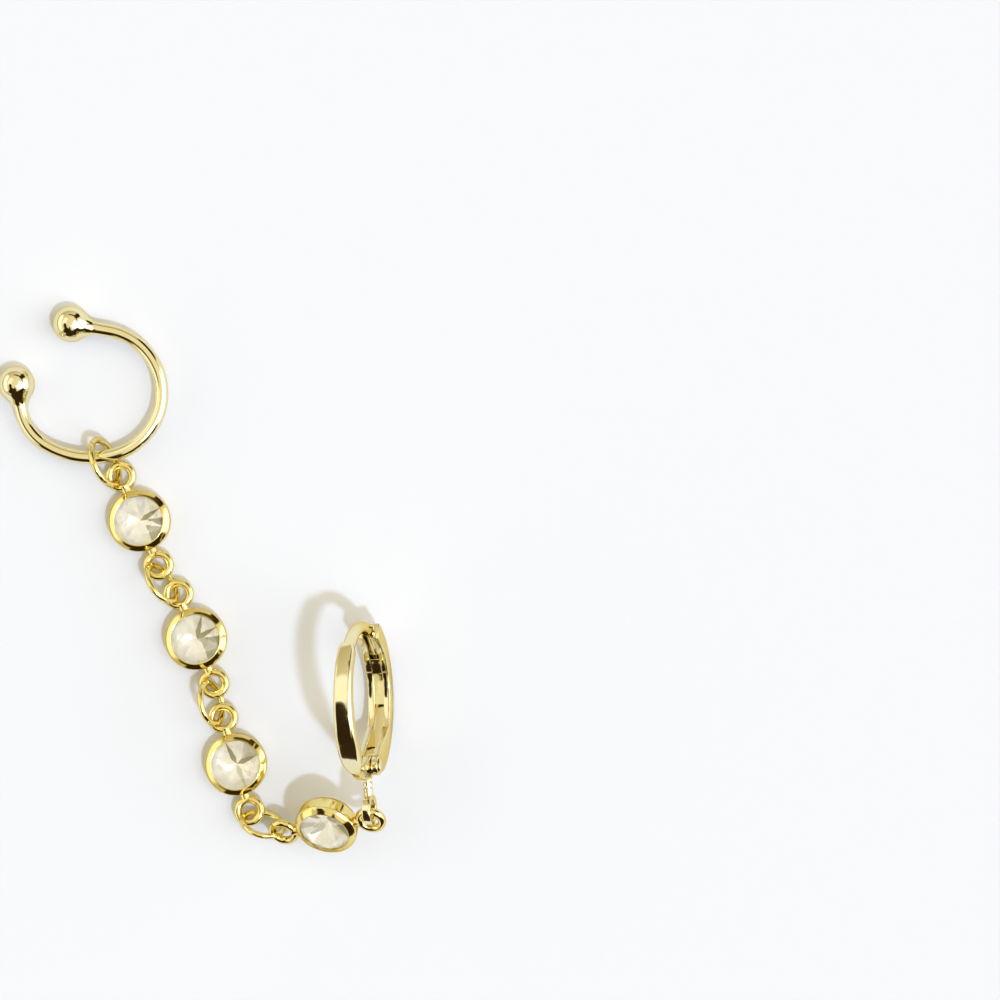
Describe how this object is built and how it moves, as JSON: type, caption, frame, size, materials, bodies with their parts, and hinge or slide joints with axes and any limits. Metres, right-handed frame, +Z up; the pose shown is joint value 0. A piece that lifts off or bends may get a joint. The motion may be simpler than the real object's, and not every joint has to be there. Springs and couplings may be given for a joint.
{
  "type": "ear chain earring",
  "caption": "Ball-ended ear cuff linked by jump rings and bezel-set round stones to a hinged lever hoop, lying flat.",
  "frame": {"origin": "middle of the footprint of the whole earring as it lies, on the surface it lies on", "axes": "+Z up from the surface, +Y along the earring's length from the hoop to the cuff, +X across it towards the hoop's side"},
  "size_m": [0.0326, 0.045, 0.0131],
  "materials": {
    "pale_gold_plate": "polished pale gold plate",
    "yellow_gold_plate": "polished yellow gold plate",
    "cubic_zirconia": "clear faceted stone"
  },
  "bodies": {
    "chain_and_hoop": {"ear_cuff": "pale_gold_plate", "cuff_jump_ring": "yellow_gold_plate", "link_ring_1": "yellow_gold_plate", "link_ring_2": "yellow_gold_plate", "link_ring_3": "yellow_gold_plate", "setting_1": "yellow_gold_plate", "setting_2": "yellow_gold_plate", "setting_3": "yellow_gold_plate", "setting_4": "yellow_gold_plate", "stone_1": "cubic_zirconia", "stone_2": "cubic_zirconia", "stone_3": "cubic_zirconia", "stone_4": "cubic_zirconia", "hoop_front": "pale_gold_plate", "hinge_pin": "pale_gold_plate"},
    "back_lever": {"lever": "pale_gold_plate"}
  },
  "joints": [
    {"name": "lever_hinge", "type": "hinge", "parent": "chain_and_hoop", "child": "back_lever", "pos_m": [0.01449, -0.01512, 0.00564], "axis": [-0.9786, -0.0359, -0.2028], "range_deg": [0, 45]}
  ]
}
